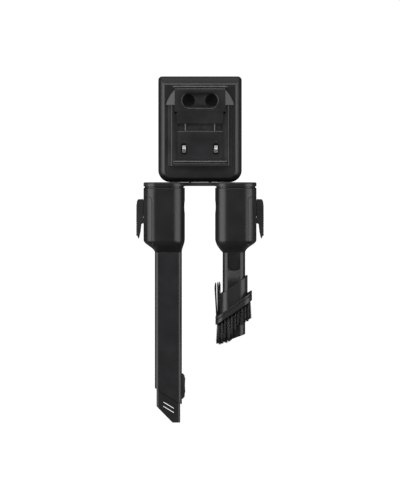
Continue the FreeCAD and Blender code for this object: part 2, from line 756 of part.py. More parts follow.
def make_post_screws():
    """One screw down through the bracket into each post."""
    return Part.makeCompound(
        [
            screw((sx * BORE_X, TOOL_Y, HOLDER_TOP - 0.2), (0, 0, -1), POST_SCREW_R, 16.0)
            for sx in (-1, 1)
        ]
    )


# ---- Tool socket, drawn on the right-hand side ---------------------------------------------
def socket_outer(lower, neck):
    """The housing's outside: a straight length, then a shoulder that draws in to the neck."""
    x = about(TOOL_X, TOOL_WIDTH / 2)
    y = about(TOOL_Y, TOOL_DEPTH / 2)
    straight = column(x, y, TOOL_CORNER_R, SHOULDER_Z, RIM_Z)
    rim = [e for e in straight.Edges if abs(e.BoundBox.ZMin - RIM_Z) < 1e-6 and e.BoundBox.ZLength < 1e-6]
    straight = straight.makeFillet(0.8, rim)
    wires = [rounded_wire(x, y, TOOL_CORNER_R, TOOL_CORNER_R, level(SHOULDER_Z))]
    for z, x_in, x_out, half_depth, r in lower:
        wires.append(rounded_wire((x_in, x_out), about(TOOL_Y, half_depth), r, r, level(z)))
    z, x_pair, half_depth, r = neck
    wires.append(rounded_wire(x_pair, about(TOOL_Y, half_depth), r, r, level(z)))
    return straight.fuse(Part.makeLoft(wires, True, False))


def socket_airway(neck, wall):
    """The bore for the post or wand, running into the neck's passage."""
    z_end, x_pair, half_depth, r = neck
    bore = rod((BORE_X, TOOL_Y, RIM_Z - BORE_DEPTH), (0, 0, 1), BORE_R, BORE_DEPTH + 1)
    start = RIM_Z - BORE_DEPTH
    narrow = z_end + SPIGOT_LENGTH
    inset = wall
    inner_x = (x_pair[0] + inset, x_pair[1] - inset)
    inner_y = about(TOOL_Y, half_depth - inset)
    inner_r = max(r - inset, 1.0)
    first_half = min(BORE_R - 1, BORE_R * 0.94)
    taper = Part.makeLoft(
        [
            rounded_wire(about(BORE_X, first_half), about(TOOL_Y, first_half), first_half * 0.9,
                         first_half * 0.9, level(start + 2.0)),
            rounded_wire(inner_x, inner_y, inner_r, inner_r, level(narrow)),
        ],
        True,
        True,
    )
    end = column(inner_x, inner_y, inner_r, z_end - 1, narrow)
    return [bore, taper, end]


def cover_zone(grow):
    """The corner of the housing that the side cover takes up."""
    return plate(
        (COVER_X - grow, 95.0), (COVER_BOTTOM - grow, COVER_TOP + grow), 0.6, -80, 10, 4.0 + grow
    )


def latch_pocket():
    """Room in the housing for the latch's lugs, hook and swing."""
    upper = box((POCKET_X, 90), about(TOOL_Y, LATCH_HALF + MOVE), (PIVOT_Z - 6.5, LATCH_TOP + 1.5))
    swing = box((TOOL_FACE_X - 2.2, 90), about(TOOL_Y, LATCH_HALF + MOVE), (SHOULDER_Z + 3.5, PIVOT_Z - 6))
    return upper.fuse(swing)


def hook_window():
    """Slot through the bore's wall for the latch hook."""
    return box(
        (BORE_X + BORE_R - 3, POCKET_X + 1), about(TOOL_Y, 4.0 + MOVE), (LATCH_TOP - 7.0, LATCH_TOP + 1.0)
    )


def make_socket(lower, neck, wall):
    """The housing without its side cover."""
    body = socket_outer(lower, neck)
    lip = column(
        about(TOOL_X, TOOL_WIDTH / 2 - LIP_INSET),
        about(TOOL_Y, TOOL_DEPTH / 2 - LIP_INSET),
        TOOL_CORNER_R - LIP_INSET,
        RIM_Z - 1.0,
        HOLDER_BOTTOM - LIP_GAP,
    )
    lip = lip.cut(rod((BORE_X, TOOL_Y, RIM_Z - 2), (0, 0, 1), BORE_R, TOOL_DROP + 3))
    body = cut_all(body, socket_airway(neck, wall) + [cover_zone(COVER_SEAM), hook_window()]).fuse(lip)
    dimple = rod((TOOL_X - TOOL_WIDTH / 2 - 59.4, TOOL_Y - 40, RIM_Z - 24.6), (0, 1, 0), 60.0, 80)
    return body.cut(dimple).removeSplitter()


def make_side_cover(lower, neck):
    """The cover that carries the latch's pivot pin."""
    cover = socket_outer(lower, neck).common(cover_zone(0)).cut(latch_pocket()).cut(hook_window())
    rib = box(
        (POCKET_X - 0.5, TOOL_FACE_X + RIB_PROUD),
        about(TOOL_Y + RIB_Y, RIB_THICK / 2),
        (PIVOT_Z + 5.5, LATCH_TOP - 1.8),
    )
    cover = cover.fuse(rib)
    hole = rod((PIVOT_X, TOOL_Y - 12.5, PIVOT_Z), (0, 1, 0), PIVOT_R + PIN_HOLD, 25.0)
    return cover.cut(hole).removeSplitter()


def make_latch():
    """Rocking lever: hook inside at the top, pivot lugs in the middle, finger tail below."""
    face = TOOL_FACE_X
    out = face + LATCH_OUT
    blade = profile(
        [
            (face + 0.4, LATCH_TOP + 0.2),
            (out - 2.2, LATCH_TOP),
            (out - 0.9, LATCH_TOP - 2.0),
            (out - 0.1, LATCH_TOP - 8.0),
            (out, LATCH_SPLIT),
            (out - PAD_THICK, LATCH_SPLIT - 0.2),
            (out - PAD_THICK, LATCH_BOTTOM + 3.6),
            (out - 3.2, LATCH_BOTTOM),
            (face + LATCH_OUT * 0.6, LATCH_BOTTOM + 1.6),
            (face + LATCH_OUT * 0.42, LATCH_BOTTOM + 9.0),
            (face + LATCH_OUT * 0.3, LATCH_SPLIT - 2.6),
            (face + 0.4, LATCH_SPLIT - 1.4),
        ],
        lambda x, z: Vec(x, TOOL_Y - LATCH_HALF, z),
        Vec(0, 2 * LATCH_HALF, 0),
    )
    sides = [
        e for e in blade.Edges
        if e.BoundBox.YLength < 1e-6 and e.BoundBox.XMin > face + LATCH_OUT * 0.43 and e.BoundBox.ZLength > 5.0
    ]
    blade = blade.makeChamfer(0.5, sides)
    groove = box(
        (face - 1, face + RIB_PROUD + MOVE),
        about(TOOL_Y + RIB_Y, RIB_THICK / 2 + MOVE),
        (PIVOT_Z + 4.0, LATCH_TOP + 1),
    )
    blade = blade.cut(groove)
    lugs = []
    for sy in (-1, 1):
        near, far = 3.6, LATCH_HALF - 0.4
        y = sorted((TOOL_Y + sy * near, TOOL_Y + sy * far))
        block = box((PIVOT_X, face + 1), y, about(PIVOT_Z, 3.4))
        eye = rod((PIVOT_X, y[0], PIVOT_Z), (0, 1, 0), 3.4, y[1] - y[0])
        lugs.append(block.fuse(eye))
    arm = box((BORE_X + BORE_R + 1.6, face + 1), about(TOOL_Y, 4.0), (LATCH_TOP - 5.0, LATCH_TOP - 1.2))
    tip = profile(
        [
            (BORE_X + BORE_R + 2.0, LATCH_TOP - 1.2),
            (BORE_X + BORE_R - 0.1, LATCH_TOP - 1.8),
            (BORE_X + BORE_R + 0.1, LATCH_TOP - 3.0),
            (BORE_X + BORE_R + 2.0, LATCH_TOP - 5.0),
        ],
        lambda x, z: Vec(x, TOOL_Y - 4.0, z),
        Vec(0, 8.0, 0),
    )
    latch = fuse_all([blade] + lugs + [arm, tip])
    hole = rod((PIVOT_X, TOOL_Y - 20, PIVOT_Z), (0, 1, 0), PIVOT_R + PIN_RUN, 40)
    return latch.cut(hole).removeSplitter()


def make_latch_pad():
    """Ribbed grip on the latch's tail."""
    out = TOOL_FACE_X + LATCH_OUT
    inner = out - PAD_THICK + SEAT
    top = LATCH_SPLIT - 0.4
    bottom = LATCH_BOTTOM + 4.0
    pad = box((inner, out - 0.2), about(TOOL_Y, LATCH_HALF - 0.8), (bottom, top))
    count = 5
    for i in range(count):
        z = bottom + (top - bottom) * (i + 0.5) / count
        pad = pad.fuse(rod(
            (out - 0.35, TOOL_Y - LATCH_HALF + 1.6, z), (0, 1, 0), 0.6, 2 * LATCH_HALF - 3.2
        ))
    return pad.removeSplitter()


def make_latch_pin():
    """The latch's pivot."""
    return rod((PIVOT_X, TOOL_Y - 12.3, PIVOT_Z), (0, 1, 0), PIVOT_R, 24.6)


def make_latch_spring():
    """Torsion spring round the pivot, with one leg on the cover and one up the latch."""
    wire_r = 0.35
    radius = PIVOT_R + 1.1
    turns = 4
    pitch = 1.1
    start = TOOL_Y - turns * pitch / 2
    body = coil((PIVOT_X, start, PIVOT_Z), (0, 1, 0), radius, wire_r, pitch, turns)
    legs = [
        rod((PIVOT_X - radius, y, PIVOT_Z + 0.4), (0, 0, 1), wire_r, 9.0)
        for y in (start - 0.8, start + turns * pitch + 0.8)
    ]
    return Part.makeCompound([body] + legs)


def save_socket_family(prefix, lower, neck, wall, place):
    """The six pieces that both tools' sockets share."""
    save(f"{prefix}_socket", place(make_socket(lower, neck, wall)))
    save(f"{prefix}_side_cover", place(make_side_cover(lower, neck)))
    save(f"{prefix}_latch", place(make_latch()))
    save(f"{prefix}_latch_pad", place(make_latch_pad()))
    save(f"{prefix}_latch_pin", place(make_latch_pin()))
    save(f"{prefix}_latch_spring", place(make_latch_spring()))


# ---- Crevice tool, drawn on the right-hand side and mirrored -------------------------------
CREVICE_SHOULDER = [
    (RIM_Z - 70.4, 20.1, 70.2, 23.8, 15.5),
    (RIM_Z - 74.2, 21.3, 65.4, 20.4, 13.0),
    (RIM_Z - 78.1, 22.6, 60.4, 15.4, 9.0),
]
CREVICE_NECK = (TUBE_Z_TOP, TUBE_X, TUBE_HALF_DEPTH, TUBE_CORNER_R)
SPIGOT_INSET = 1.5


def tube_section(inset, z_low, z_high):
    """A straight length of the crevice tube's section, drawn in by inset."""
    return column(
        (TUBE_X[0] + inset, TUBE_X[1] - inset),
        about(TOOL_Y, TUBE_HALF_DEPTH - inset),
        max(TUBE_CORNER_R - inset, 0.8),
        z_low,
        z_high,
    )


def make_outer_tube():
    """Flat tube with a slanted lower end and a spigot into the socket."""
    inner = TUBE_WALL
    tube = tube_section(0, TUBE_END_IN - 10, TUBE_Z_TOP - SEAT)
    spigot = tube_section(SPIGOT_INSET + SEAT, TUBE_Z_TOP - 2, TUBE_Z_TOP + SPIGOT_LENGTH - 1)
    tube = tube.fuse(spigot)
    tube = tube.cut(tube_section(inner, TUBE_END_IN - 20, TUBE_Z_TOP - 4))
    tube = tube.cut(tube_section(SPIGOT_INSET + 1.4, TUBE_Z_TOP - 6, TUBE_Z_TOP + 20))
    slant = below_slant(TUBE_X[0], TUBE_END_IN, TUBE_X[1], TUBE_END_OUT)
    return tube.cut(slant).removeSplitter()


def make_inner_nozzle():
    """Sliding nozzle with a slanted tip and two slots through its sides."""
    outer = TUBE_WALL + NOZZLE_GAP
    nozzle = tube_section(outer, NOZZLE_TIP, NOZZLE_TOP)
    nozzle = nozzle.cut(tube_section(outer + NOZZLE_WALL, NOZZLE_TIP - 1, NOZZLE_TOP + 1))
    x_out = TUBE_X[1] - outer
    x_knee = x_out - NOZZLE_SLANT_WIDTH
    slant = below_slant(x_knee, NOZZLE_TIP, x_out, NOZZLE_SLANT_START)
    slope = (TUBE_END_OUT - TUBE_END_IN) / (TUBE_X[1] - TUBE_X[0])
    nozzle = nozzle.cut(slant)
    for drop in (0.0, 5.4):
        x0, x1 = 33.6, 47.0
        z1 = RIM_Z - 273.5 - drop
        z0 = z1 - slope * (x1 - x0)
        slot = profile(
            [(x0, z0), (x1, z1), (x1, z1 - 2.1), (x0, z0 - 2.1)],
            lambda x, z: Vec(x, TOOL_Y - 40, z),
            Vec(0, 80, 0),
        )
        nozzle = nozzle.cut(slot)
    return nozzle.removeSplitter()


def make_button_housing():
    """Saddle on the tube's inner edge: two cheeks with the button between them."""
    x = (TUBE_X[0] - 3.6, TUBE_X[0] + 2.4)
    z = (BUTTON_BOTTOM - 3.6, BUTTON_TOP + 4.4)
    block = profile(
        [
            (x[1], z[0]),
            (x[1], z[1]),
            (x[0] + 2.2, z[1]),
            (x[0], z[1] - 3.0),
            (x[0], z[0] + 3.0),
            (x[0] + 2.8, z[0]),
        ],
        lambda a, b: Vec(a, TOOL_Y - 7.6, b),
        Vec(0, 15.2, 0),
    )
    block = block.cut(tube_section(-SEAT, z[0] - 5, z[1] + 5))
    block = block.cut(
        box((0, x[1] + 1), about(TOOL_Y, BUTTON_HALF + MOVE), (BUTTON_BOTTOM - MOVE, BUTTON_TOP + MOVE))
    )
    hole = rod((BUTTON_PIVOT_X, TOOL_Y - 20, BUTTON_PIVOT_Z), (0, 1, 0), BUTTON_PIN_R + PIN_HOLD, 40)
    return block.cut(hole).removeSplitter()


def make_extension_button():
    """Rocker that frees the nozzle's slide."""
    inner = TUBE_X[0] - BUTTON_GAP
    body = profile(
        [
            (inner, BUTTON_BOTTOM),
            (inner, BUTTON_TOP),
            (BUTTON_OUT + 0.9, BUTTON_TOP),
            (BUTTON_OUT, BUTTON_TOP - 1.4),
            (BUTTON_OUT + 0.5, BUTTON_PIVOT_Z + 3),
            (BUTTON_OUT, BUTTON_PIVOT_Z - 4),
            (BUTTON_OUT + 1.0, BUTTON_BOTTOM),
        ],
        lambda x, z: Vec(x, TOOL_Y - BUTTON_HALF, z),
        Vec(0, 2 * BUTTON_HALF, 0),
    )
    hole = rod((BUTTON_PIVOT_X, TOOL_Y - 20, BUTTON_PIVOT_Z), (0, 1, 0), BUTTON_PIN_R + PIN_RUN, 40)
    return body.cut(hole).removeSplitter()


def make_button_pin():
    """The button's pivot."""
    return rod((BUTTON_PIVOT_X, TOOL_Y - 7.4, BUTTON_PIVOT_Z), (0, 1, 0), BUTTON_PIN_R, 14.8)


# ---- Brush tool ----------------------------------------------------------------------------
BRUSH_SHOULDER = [
    (RIM_Z - 70.4, 20.5, 70.0, 24.0, 16.0),
    (RIM_Z - 74.2, 22.3, 64.8, 21.6, 14.0),
    (RIM_Z - 78.1, 25.0, 60.0, 18.4, 11.0),
]
BRUSH_NECK = (NECK_Z_TOP, NECK_X, NECK_TOP_HALF_DEPTH, NECK_CORNER_R)


def neck_section(inset, z_low, z_high):
    """A straight length of the brush tool's nozzle section, drawn in by inset."""
    return column(
        (NECK_X[0] + inset, NECK_X[1] - inset),
        about(TOOL_Y, NECK_HALF_DEPTH - inset),
        NECK_CORNER_R - inset,
        z_low,
        z_high,
    )


def neck_wire(inset, z, half_depth):
    """The nozzle's section at one height."""
    r = NECK_CORNER_R - inset
    x = (NECK_X[0] + inset, NECK_X[1] - inset)
    return rounded_wire(x, about(TOOL_Y, half_depth - inset), r, r, level(z))


def neck_body(inset, z_top, z_bottom, flare):
    """The nozzle's flared length: slim at the socket, full depth from the collar down."""
    heights = [(z_top, NECK_TOP_HALF_DEPTH)] + list(flare)
    upper = Part.makeLoft([neck_wire(inset, z, half) for z, half in heights], True, False)
    lower = neck_section(inset, z_bottom, heights[-1][0])
    return upper.fuse(lower)


def make_nozzle_tube():
    """Flat tube with a slanted mouth and a sunk panel in its front."""
    tube = neck_body(0, NECK_Z_TOP - SEAT, MOUTH_IN - 10, NECK_FLARE)
    thin = SPIGOT_INSET + 1.4
    top = NECK_Z_TOP + SPIGOT_LENGTH - 1
    half = NECK_TOP_HALF_DEPTH
    spigot_wire = neck_wire(SPIGOT_INSET + SEAT, NECK_Z_TOP - 2, half)
    spigot = Part.Face(spigot_wire).extrude(Vec(0, 0, top - NECK_Z_TOP + 2))
    bore = Part.Face(neck_wire(thin, NECK_Z_TOP - 3, half)).extrude(Vec(0, 0, top - NECK_Z_TOP + 4))
    airway = neck_body(thin, NECK_Z_TOP - 3, MOUTH_IN - 20, NECK_BORE_FLARE)
    tube = tube.fuse(spigot).cut(airway).cut(bore)
    middle = (NECK_X[0] + NECK_X[1]) / 2
    sunk = plate(
        about(middle, 8.2),
        (RIM_Z - 105.5, NECK_Z_TOP - 1.2),
        6.0,
        TOOL_Y - 40,
        TOOL_Y - NECK_TOP_HALF_DEPTH + 1.3,
        0.8,
    )
    mouth = below_slant(NECK_X[0], MOUTH_IN, NECK_X[1], MOUTH_OUT)
    return tube.cut(sunk).cut(mouth).removeSplitter()


def below_band_plane(plane, shift=0.0):
    """The space below a slanted plane given by its z at the band's two edges."""
    return below_slant(BAND_X[0], plane[0] + shift, BAND_X[1], plane[1] + shift)


def slanted_ring(x, half_depth, r, hole_inset, top, bottom):
    """A ring round the nozzle between two slanted planes. A plane is its edge heights and a shift."""
    ring = column(x, about(TOOL_Y, half_depth), r, min(bottom[0]) - 40, max(top[0]) + 40)
    ring = ring.cut(neck_section(hole_inset, min(bottom[0]) - 50, max(top[0]) + 50))
    return ring.cut(below_band_plane(*bottom)).common(below_band_plane(*top))


def make_brush_collar():
    """Sleeve that slides on the nozzle and carries the brush band."""
    grow = MOVE + COLLAR_WALL
    x = (NECK_X[0] - grow, NECK_X[1] + grow)
    return slanted_ring(
        x,
        NECK_HALF_DEPTH + grow,
        NECK_CORNER_R + grow,
        -MOVE,
        (COLLAR_TOP, 0.0),
        (BAND_BOTTOM, COLLAR_RING_THICK),
    )


def make_brush_band():
    """Band that clamps the bristles, pushed onto the collar, with a groove round its face."""
    band = slanted_ring(
        BAND_X,
        BAND_HALF_DEPTH,
        11.0,
        -(MOVE + COLLAR_WALL + SEAT),
        (BAND_TOP, 0.0),
        (BAND_BOTTOM, 0.0),
    )
    low = min(BAND_BOTTOM) - 20
    high = max(BAND_TOP) + 20
    face = column(BAND_X, about(TOOL_Y, BAND_HALF_DEPTH), 11.0, low, high)
    x = (BAND_X[0] + BAND_GROOVE, BAND_X[1] - BAND_GROOVE)
    core = column(x, about(TOOL_Y, BAND_HALF_DEPTH - BAND_GROOVE), 11.0 - BAND_GROOVE, low - 1, high + 1)
    groove = face.cut(core).cut(below_band_plane(BAND_TOP, -4.2)).common(below_band_plane(BAND_TOP, -3.0))
    return band.cut(groove)


def make_front_bristles():
    """The ring of bristles below the band, as one plain solid."""
    x = (BAND_X[0] + BRISTLE_INSET, BAND_X[1] - BRISTLE_INSET)
    return slanted_ring(
        x,
        BAND_HALF_DEPTH - BRISTLE_INSET,
        9.0,
        -(MOVE + 0.8),
        (BAND_BOTTOM, -SEAT),
        (BRISTLE_END, 0.0),
    )


def make_rear_tufts():
    """Short row of tufts that stands up behind the band's inner end."""
    foot = rounded_wire(TUFT_X, about(TUFT_Y, TUFT_HALF), 1.2, 1.2, level(BAND_TOP[0]))
    tip = rounded_wire(
        (TUFT_X[0] - TUFT_LEAN, TUFT_X[1] - TUFT_LEAN),
        about(TUFT_Y, TUFT_HALF + 1),
        1.2,
        1.2,
        level(TUFT_TIP),
    )
    return Part.makeLoft([foot, tip], True, True).cut(below_band_plane(BAND_TOP, SEAT))


def make_collar_ring():
    """Soft wiper ring under the collar, round the nozzle."""
    grow = MOVE + COLLAR_WALL
    return slanted_ring(
        (NECK_X[0] - grow, NECK_X[1] + grow),
        NECK_HALF_DEPTH + grow,
        NECK_CORNER_R + grow,
        -MOVE,
        (BAND_BOTTOM, COLLAR_RING_THICK - SEAT),
        (BAND_BOTTOM, 0.0),
    )


# ---- Build ---------------------------------------------------------------------------------
save("rear_cover", make_rear_cover())
save("front_cover", make_front_cover())
save("cover_screws", make_cover_screws())
save("cradle_frame", make_cradle_frame())
save("hanger_panel", make_hanger_panel())
save("contact_plate", make_contact_plate())
save("locating_pins", make_locating_pins())
for side_name, side in (("left", -1), ("right", 1)):
    save(f"charge_contact_{side_name}", make_charge_contact(side))
    save(f"contact_spring_{side_name}", make_contact_spring(side))
    save(f"holder_post_{side_name}", make_holder_post(side))
save("charging_board", make_charging_board())
save("board_components", make_board_components())
save("board_screws", make_board_screws())
save("power_inlet", make_power_inlet())
save("accessory_bracket", make_accessory_bracket())
save("bracket_screws", make_bracket_screws())
save("post_screws", make_post_screws())

save_socket_family("crevice", CREVICE_SHOULDER, CREVICE_NECK, SPIGOT_INSET, mirrored)
save("crevice_outer_tube", mirrored(make_outer_tube()))
save("crevice_inner_nozzle", mirrored(make_inner_nozzle()))
save("button_housing", mirrored(make_button_housing()))
save("extension_button", mirrored(make_extension_button()))
save("button_pin", mirrored(make_button_pin()))

save_socket_family("brush_tool", BRUSH_SHOULDER, BRUSH_NECK, SPIGOT_INSET, lambda shape: shape)
save("nozzle_tube", make_nozzle_tube())
save("brush_collar", make_brush_collar())
save("brush_band", make_brush_band())
save("front_bristles", make_front_bristles())
save("rear_tufts", make_rear_tufts())
save("collar_ring", make_collar_ring())
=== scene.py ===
import json
import math
import random

import bmesh
import bpy
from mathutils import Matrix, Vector


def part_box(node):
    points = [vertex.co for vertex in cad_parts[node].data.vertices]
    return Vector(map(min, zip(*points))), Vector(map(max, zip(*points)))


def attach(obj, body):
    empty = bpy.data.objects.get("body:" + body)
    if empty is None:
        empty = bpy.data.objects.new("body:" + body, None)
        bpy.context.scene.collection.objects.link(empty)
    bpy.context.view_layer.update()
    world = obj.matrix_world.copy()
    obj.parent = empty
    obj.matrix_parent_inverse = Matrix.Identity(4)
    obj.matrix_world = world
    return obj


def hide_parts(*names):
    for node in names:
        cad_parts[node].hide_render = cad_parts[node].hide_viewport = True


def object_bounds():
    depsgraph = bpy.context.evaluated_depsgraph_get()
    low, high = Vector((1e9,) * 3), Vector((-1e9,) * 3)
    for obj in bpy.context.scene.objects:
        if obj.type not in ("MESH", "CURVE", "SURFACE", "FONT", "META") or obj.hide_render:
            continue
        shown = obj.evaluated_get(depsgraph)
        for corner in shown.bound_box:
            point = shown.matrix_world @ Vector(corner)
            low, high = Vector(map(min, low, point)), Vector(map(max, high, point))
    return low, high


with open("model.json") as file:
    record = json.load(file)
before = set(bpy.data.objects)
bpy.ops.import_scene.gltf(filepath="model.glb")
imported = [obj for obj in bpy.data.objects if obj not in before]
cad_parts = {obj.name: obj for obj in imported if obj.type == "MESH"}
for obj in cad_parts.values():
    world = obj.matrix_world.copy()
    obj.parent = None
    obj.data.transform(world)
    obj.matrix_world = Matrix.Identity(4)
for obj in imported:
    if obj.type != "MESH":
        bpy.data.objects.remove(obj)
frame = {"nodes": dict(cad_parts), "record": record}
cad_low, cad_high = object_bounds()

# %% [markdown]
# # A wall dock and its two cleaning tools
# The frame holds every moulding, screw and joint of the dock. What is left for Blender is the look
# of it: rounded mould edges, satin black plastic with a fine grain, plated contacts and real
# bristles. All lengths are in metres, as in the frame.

MM = 0.001
nodes = frame["nodes"]

# %% [markdown]
# ## Camera
# The view is square on, from about dock height, with a very long lens, so that upright edges stay
# parallel and the slots in the tip can be seen through. A little pitch and a little lens shift
# share the work of getting the long tools into the frame: all shift would crop the views from
# other sides.

# %% Camera
CAMERA_DISTANCE = 5.0           # to the tools' axes
CAMERA_HEIGHT = 0.012
CAMERA_PITCH = math.radians(1.03)
SEEN_HEIGHT = 0.640             # what the frame's height covers at that distance
SENSOR = 36.0
MIDDLE_OF_VIEW = -0.1545        # the height that the frame's middle looks at
tool_axis_y = (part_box("crevice_socket")[0].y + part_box("crevice_socket")[1].y) / 2

camera_data = bpy.data.cameras.new("studio_camera")
camera_data.sensor_width = SENSOR
camera_data.lens = SENSOR * CAMERA_DISTANCE / SEEN_HEIGHT
camera = bpy.data.objects.new("studio_camera", camera_data)
bpy.context.scene.collection.objects.link(camera)
camera.location = (0.0, tool_axis_y - CAMERA_DISTANCE, CAMERA_HEIGHT)
camera.rotation_euler = (math.radians(90) - CAMERA_PITCH, 0.0, 0.0)
axis_hits = CAMERA_HEIGHT - CAMERA_DISTANCE * math.tan(CAMERA_PITCH)
camera_data.shift_y = (MIDDLE_OF_VIEW - axis_hits) / SEEN_HEIGHT
camera_data.clip_end = 60.0
bpy.context.scene.camera = camera
print("lens", round(camera_data.lens, 1), "mm, shift", round(camera_data.shift_y, 3))


# %% [markdown]
# ## Light
# Black plastic shows its shape only through what it reflects. A wide soft box on each side draws
# the long bright lines down the sockets and the tube. A strip in front and above lights the bevels
# and ledges that face up, and a broad ceiling fills the rest. The room is white to the camera and
# nearly dark to every other ray, so the flat faces stay black.

# %% Lights
LIGHT_TARGET = (0.0, tool_axis_y, -0.15)
LIGHTS = (                      # name, place, size, power in watts
    ("side_left", (-1.00, -0.72, -0.15), (1.25, 1.6), 16.0),
    ("side_right", (1.00, -0.76, -0.15), (1.20, 1.6), 13.0),
    ("strip_above", (-0.10, -1.35, 0.95), (1.0, 0.30), 7.0),
    ("ceiling", (0.0, -0.20, 1.30), (1.6, 1.2), 4.5),
)
ROOM_SEEN = 1.0                 # the white room's strength to the camera
ROOM_UNSEEN = 0.10              # and to every other ray
WHITE = (1.0, 1.0, 1.0, 1.0)


def area_light(name, place, size, power):
    """A rectangular soft light aimed at the middle of the object."""
    data = bpy.data.lights.new(name, "AREA")
    data.shape = "RECTANGLE"
    data.size, data.size_y = size
    data.energy = power
    lamp = bpy.data.objects.new(name, data)
    bpy.context.scene.collection.objects.link(lamp)
    lamp.location = place
    direction = Vector(LIGHT_TARGET) - Vector(place)
    lamp.rotation_euler = direction.to_track_quat("-Z", "Y").to_euler()


def make_room():
    """A world that is white to the camera and dim to every other ray."""
    world = bpy.data.worlds.new("studio_world")
    world.use_nodes = True
    room = world.node_tree
    seen = room.nodes["Background"]
    unseen = room.nodes.new("ShaderNodeBackground")
    for background, strength in ((seen, ROOM_SEEN), (unseen, ROOM_UNSEEN)):
        background.inputs["Color"].default_value = WHITE
        background.inputs["Strength"].default_value = strength
    rays = room.nodes.new("ShaderNodeLightPath")
    choice = room.nodes.new("ShaderNodeMixShader")
    room.links.new(rays.outputs["Is Camera Ray"], choice.inputs[0])
    room.links.new(unseen.outputs[0], choice.inputs[1])
    room.links.new(seen.outputs[0], choice.inputs[2])
    room.links.new(choice.outputs[0], room.nodes["World Output"].inputs["Surface"])
    bpy.context.scene.world = world


for light in LIGHTS:
    area_light(*light)
make_room()
bpy.context.scene.view_settings.view_transform = "Standard"
print("lights:", ", ".join(light[0] for light in LIGHTS), "and a white room")


# %% [markdown]
# ## Floor and backdrop
# A white sheet that starts behind the object and rises far behind it. It glows for the camera only,
# so that no white creeps into the reflections. It is stage, because it isn't part of the object.

# %% Floor and backdrop
SHEET_HALF = 4.0
SHEET_START_Y = 0.35            # behind the object, so that it lights nothing from below
SHEET_DROP = 0.35               # floor below the object
SHEET_TOP = 3.5
WALL_Y = 8.0
BEND_R = 1.5
BEND_STEPS = 12


def paper_material():
    """Matt white paper with a trace of mottle."""
    material = bpy.data.materials.new("backdrop_paper")
    material.use_nodes = True
    tree = material.node_tree
    shader = tree.nodes["Principled BSDF"]
    shader.inputs["Roughness"].default_value = 0.9
    coords = tree.nodes.new("ShaderNodeTexCoord")
    noise = tree.nodes.new("ShaderNodeTexNoise")
    noise.inputs["Scale"].default_value = 3.0
    ramp = tree.nodes.new("ShaderNodeValToRGB")
    ramp.color_ramp.elements[0].color = (0.50, 0.50, 0.50, 1.0)
    ramp.color_ramp.elements[1].color = (0.53, 0.53, 0.53, 1.0)
    tree.links.new(coords.outputs["Object"], noise.inputs["Vector"])
    tree.links.new(noise.outputs["Fac"], ramp.inputs["Fac"])
    tree.links.new(ramp.outputs["Color"], shader.inputs["Base Color"])
    rays = tree.nodes.new("ShaderNodeLightPath")
    shader.inputs["Emission Color"].default_value = WHITE
    tree.links.new(rays.outputs["Is Camera Ray"], shader.inputs["Emission Strength"])
    return material


def make_backdrop():
    """One sheet behind the object: a floor, a quarter-round bend and a wall."""
    floor_z = cad_low[2] - SHEET_DROP
    mesh = bmesh.new()
    line = [mesh.verts.new((-SHEET_HALF, SHEET_START_Y, floor_z))]
    for i in range(BEND_STEPS + 1):
        angle = math.pi / 2 * i / BEND_STEPS
        y = WALL_Y - BEND_R + BEND_R * math.sin(angle)
        z = floor_z + BEND_R - BEND_R * math.cos(angle)
        line.append(mesh.verts.new((-SHEET_HALF, y, z)))
    line.append(mesh.verts.new((-SHEET_HALF, WALL_Y, SHEET_TOP)))
    edges = [mesh.edges.new((a, b)) for a, b in zip(line, line[1:])]
    swept = bmesh.ops.extrude_edge_only(mesh, edges=edges)
    moved = [v for v in swept["geom"] if isinstance(v, bmesh.types.BMVert)]
    bmesh.ops.translate(mesh, verts=moved, vec=(2 * SHEET_HALF, 0.0, 0.0))
    data = bpy.data.meshes.new("backdrop")
    mesh.to_mesh(data)
    mesh.free()
    sheet = bpy.data.objects.new("backdrop", data)
    bpy.context.scene.collection.objects.link(sheet)
    data.materials.append(paper_material())
    for face in data.polygons:
        face.use_smooth = True


make_backdrop()
print("backdrop made")


# %% [markdown]
# ## One surface effect for all the mouldings
# Moulded black plastic isn't one flat colour. The mould's spark-eroded texture gives a very fine
# grain, handling leaves slightly shinier clouds, and the corners rub paler. One node group holds
# the three effects with named inputs, and each material places it with its own values.

# %% The moulded-surface group
RUBBED = (0.07, 0.07, 0.073, 1.0)       # colour of a rubbed corner
CLOUD_SCALE = 42.0
EDGE_START, EDGE_FULL = 0.51, 0.60      # pointiness where the rub begins and is complete


def socket(tree, name, direction, kind, default=None):
    """One socket on a node group."""
    item = tree.interface.new_socket(name=name, in_out=direction, socket_type=kind)
    if default is not None:
        item.default_value = default


def math_node(tree, operation, first, second):
    """A Math node fed by sockets or numbers."""
    node = tree.nodes.new("ShaderNodeMath")
    node.operation = operation
    for index, value in enumerate((first, second)):
        if isinstance(value, (int, float)):
            node.inputs[index].default_value = value
        else:
            tree.links.new(value, node.inputs[index])
    return node.outputs[0]


